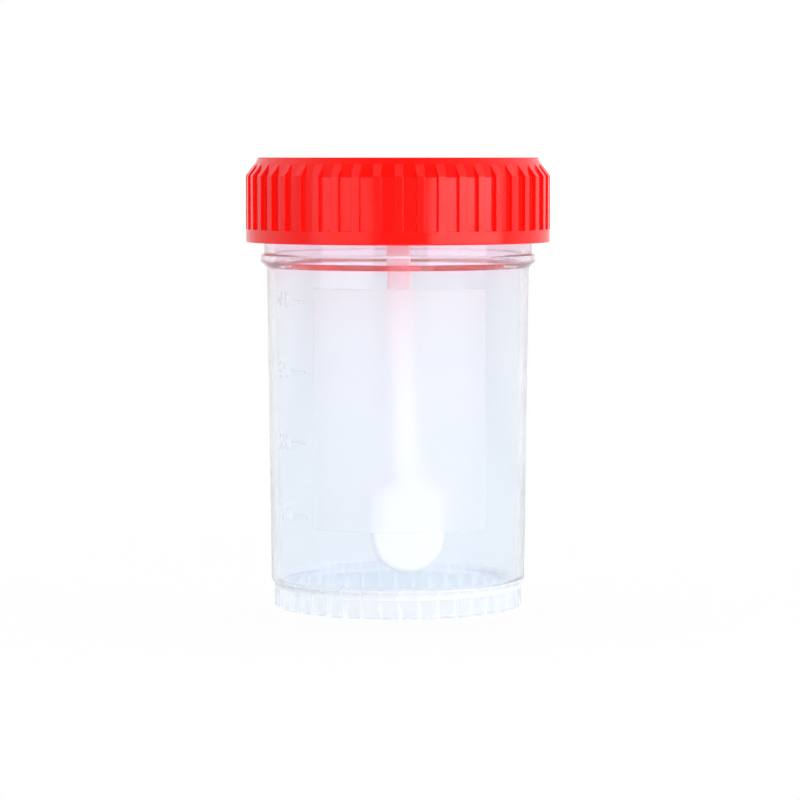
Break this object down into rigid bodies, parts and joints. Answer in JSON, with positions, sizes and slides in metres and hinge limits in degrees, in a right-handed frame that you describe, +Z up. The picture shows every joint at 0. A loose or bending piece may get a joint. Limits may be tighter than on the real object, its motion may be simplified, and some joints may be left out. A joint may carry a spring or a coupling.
{
  "type": "specimen container",
  "caption": "Clear jar with an open ribbed foot, frosted writing panel and red ribbed screw cap that carries a white spoon inside.",
  "frame": {"origin": "centre of the jar's foot, on the surface it stands on", "axes": "+Z up along the jar's axis, -Y towards the writing panel, +X to the right of someone who faces the panel"},
  "size_m": [0.044, 0.044, 0.065],
  "materials": {
    "jar_plastic": "clear, faintly milky, frosted on the writing panel",
    "cap_plastic": "moulded, low gloss",
    "spoon_plastic": "moulded, white"
  },
  "bodies": {
    "jar": {"jar": "jar_plastic"},
    "spoon": {"spoon": "spoon_plastic"},
    "screw_cap": {"screw_cap": "cap_plastic"}
  },
  "joints": [
    {"name": "cap_lift", "type": "slide", "parent": "jar", "child": "spoon", "axis": [0, 0, 1], "range_m": [0, 0.0064]},
    {"name": "cap_turn", "type": "hinge", "parent": "spoon", "child": "screw_cap", "pos_m": [0, 0, 0.06], "axis": [0, 0, 1], "range_deg": [0, 720]}
  ],
  "couplings": [
    {"joint": "cap_lift", "follows": "cap_turn", "m_per_rad": 0.00050929}
  ]
}
